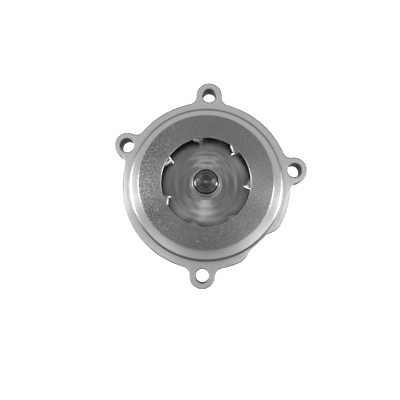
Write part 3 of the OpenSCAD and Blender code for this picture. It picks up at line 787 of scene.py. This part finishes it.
def blade_arc():
    """Centre and radius of the arc that a blade follows in plan."""
    sine = math.sin(math.radians(BLADE_INNER_LEAN))
    gain = BLADE_TIP_R * math.sin(math.radians(BLADE_OUTER_LEAN)) - BLADE_INNER_R * sine
    arc_r = (BLADE_TIP_R ** 2 - BLADE_INNER_R ** 2) / (2 * gain)
    centre = np.array([BLADE_INNER_R - arc_r * sine,
                       -arc_r * math.cos(math.radians(BLADE_INNER_LEAN))])
    return centre, arc_r


def add_blade_sheet(bm):
    """An arc of sheet whose inner end is rounded and slopes out to the eye."""
    centre, arc_r = blade_arc()
    away = float(np.linalg.norm(centre))
    heading = math.atan2(centre[1], centre[0])

    def arc_angle(radius):
        """Angle on the blade's arc at which it is this far from the axis."""
        cosine = (radius ** 2 - arc_r ** 2 - away ** 2) / (2 * arc_r * away)
        return heading + math.acos(cosine)

    half = BLADE_T / 2
    rings = []
    for drop in (BLADE_H, BLADE_SLOPE_DROP, 0.0):
        risen = 1.0 - min(1.0, drop / BLADE_SLOPE_DROP)
        edge = BLADE_INNER_R - half + (BLADE_SLOPE_END_R - BLADE_INNER_R + half) * risen
        start = arc_angle(max(BLADE_INNER_R, edge + half))
        angles = np.linspace(start, arc_angle(BLADE_TIP_R), BLADE_STEPS)
        outer = [on_circle(centre, arc_r + half, a) for a in angles]
        inner = [on_circle(centre, arc_r - half, a) for a in angles]
        middle = on_circle(centre, arc_r, start)
        cap = [on_circle(middle, half, start + math.pi - math.pi * i / BLADE_CAP_STEPS)
               for i in range(1, BLADE_CAP_STEPS)]
        outline = inner[::-1] + cap + outer
        rings.append([bm.verts.new((p[0], p[1], SHROUD_LOW - drop)) for p in outline])
    for low_ring, high_ring in zip(rings, rings[1:]):
        for i in range(len(low_ring)):
            j = (i + 1) % len(low_ring)
            bm.faces.new((low_ring[i], low_ring[j], high_ring[j], high_ring[i]))
    bm.faces.new(rings[0][::-1])
    bm.faces.new(rings[-1])


def add_blade_tab(bm):
    """The tab under the shroud: upright where the blade leans to, sheared to a slope inside."""
    verts = []
    for z, outline in ((SHROUD_LOW - TAB_T, TAB_FOOT), (SHROUD_LOW, TAB_TOP)):
        for corner in outline:
            for k in range(TAB_EDGE_STEPS):
                x, y = on_circle(np.array(corner), TAB_EDGE_R, 2.0 * math.pi * k / TAB_EDGE_STEPS)
                verts.append(bm.verts.new((x, y, z)))
    hull = bmesh.ops.convex_hull(bm, input=verts)
    loose = {v for v in hull["geom_interior"] + hull["geom_unused"]
             if isinstance(v, bmesh.types.BMVert)}
    bmesh.ops.delete(bm, geom=list(loose), context="VERTS")


for number in range(1, BLADE_COUNT + 1):
    blade = bmesh.new()
    add_blade_sheet(blade)
    add_blade_tab(blade)
    turn = math.radians(BLADE_START + (number - 1) * 360.0 / BLADE_COUNT)
    bmesh.ops.rotate(blade, matrix=Matrix.Rotation(turn, 3, "Z"), verts=blade.verts)
    new_piece("impeller_blade_sheet_%d" % number, blade, "rotor", [blade_steel],
              ["impeller_blade_%d" % number])


# ---------------------------------------------------------------- stage, lights and camera

WHITE = (1.0, 1.0, 1.0, 1.0)
# Size of the floor's grid and its distance below the pump, in metres, and how bright it looks
FLOOR_SIZE, FLOOR_GAP, FLOOR_GLOW = 6.0, 0.0002, 0.85
# World levels overhead (behind and in front) and at the horizon (in front and behind)
ZENITH, ZENITH_FRONT, HORIZON_FRONT, HORIZON_BACK = 0.62, 0.30, 0.01, 0.22


def build_floor():
    """A pale floor that the camera sees as white paper, but that throws little light back up."""
    bm = bmesh.new()
    bmesh.ops.create_grid(bm, x_segments=2, y_segments=2, size=FLOOR_SIZE)
    mesh = bpy.data.meshes.new("studio_floor")
    bm.to_mesh(mesh)
    bm.free()
    floor = add_object("studio_floor", mesh)
    floor.location = (0.0, 0.0, cad_box[0][2] - FLOOR_GAP)
    m = Nodes("studio_floor_pale", Roughness=0.8, Emission_Color=WHITE)
    seen = m.node("ShaderNodeLightPath").outputs["Is Camera Ray"]
    m.link(m.math("MULTIPLY", seen, FLOOR_GLOW), "Emission Strength")
    thrown_back = m.ramp(m.axes()["Y"], -0.4, 0.3, 0.08, 0.6)
    m.grey(m.math("MAXIMUM", m.math("MULTIPLY", seen, 0.85), thrown_back))
    mesh.materials.append(m.material)


def build_world():
    """Soft light from above that fades towards the horizon, most of all in front."""
    world = bpy.data.worlds.new("studio")
    bpy.context.scene.world = world
    world.use_nodes = True
    tree = world.node_tree

    def ramp(value, low, high, out_low, out_high, **settings):
        return add_node(tree, "ShaderNodeMapRange", {
            "Value": value, "From Min": low, "From Max": high,
            "To Min": out_low, "To Max": out_high}, **settings).outputs[0]

    def mix(factor, a, b):
        return add_node(tree, "ShaderNodeMix", {0: factor, 2: a, 3: b}).outputs[0]

    direction = add_node(tree, "ShaderNodeTexCoord").outputs["Generated"]
    axes = add_node(tree, "ShaderNodeSeparateXYZ", {0: direction}).outputs
    above = ramp(axes["Z"], 0.05, 0.75, 0.0, 1.0, interpolation_type="SMOOTHSTEP")
    horizon = ramp(axes["Y"], -0.6, 0.8, HORIZON_FRONT, HORIZON_BACK)
    overhead = ramp(axes["Y"], -0.6, 0.3, ZENITH_FRONT, ZENITH)
    seen = add_node(tree, "ShaderNodeLightPath").outputs["Is Camera Ray"]
    background = tree.nodes["Background"]
    tree.links.new(mix(seen, mix(above, horizon, overhead), 1.0), background.inputs["Strength"])
    background.inputs["Color"].default_value = WHITE


def softbox(name, place, size, power):
    """A lamp that faces the pump. Place and size, across and up, are in metres; power in watts."""
    light = bpy.data.lights.new(name, "AREA")
    light.shape = "RECTANGLE"
    light.size, light.size_y = size
    light.energy = power
    lamp = add_object(name, light)
    lamp.location = place
    lamp.rotation_euler = Vector(place).to_track_quat("Z", "Y").to_euler()


def build_camera(place, aim, lens):
    """The camera at the photograph's angle, with +Y up. Place and aim are in millimetres."""
    place, aim = Vector(place) * MM, Vector(aim) * MM
    ahead = (aim - place).normalized()
    right = ahead.cross(Vector((0.0, 1.0, 0.0))).normalized()
    up = right.cross(ahead)
    data = bpy.data.cameras.new("camera")
    data.lens, data.sensor_width, data.clip_start = lens, 36.0, 0.01
    camera = add_object("camera", data)
    camera.matrix_world = (Matrix.Translation(place)
                           @ Matrix((right, up, -ahead)).transposed().to_4x4())
    bpy.context.scene.camera = camera


build_floor()
build_camera(place=(1.92, -46.45, 397.44), aim=(-4.18, -10.32, 0.0), lens=52.49)
softbox("softbox_left", (-0.58, 0.01, 0.25), (0.24, 0.34), 3.7)
softbox("softbox_right", (0.58, -0.06, 0.25), (0.13, 0.28), 2.9)
softbox("softbox_right_high", (0.27, -0.22, 0.49), (0.2, 0.2), 0.42)
softbox("softbox_left_front", (-0.24, -0.26, 0.52), (0.2, 0.2), 0.2)
build_world()
bpy.context.scene.view_settings.view_transform = "Standard"
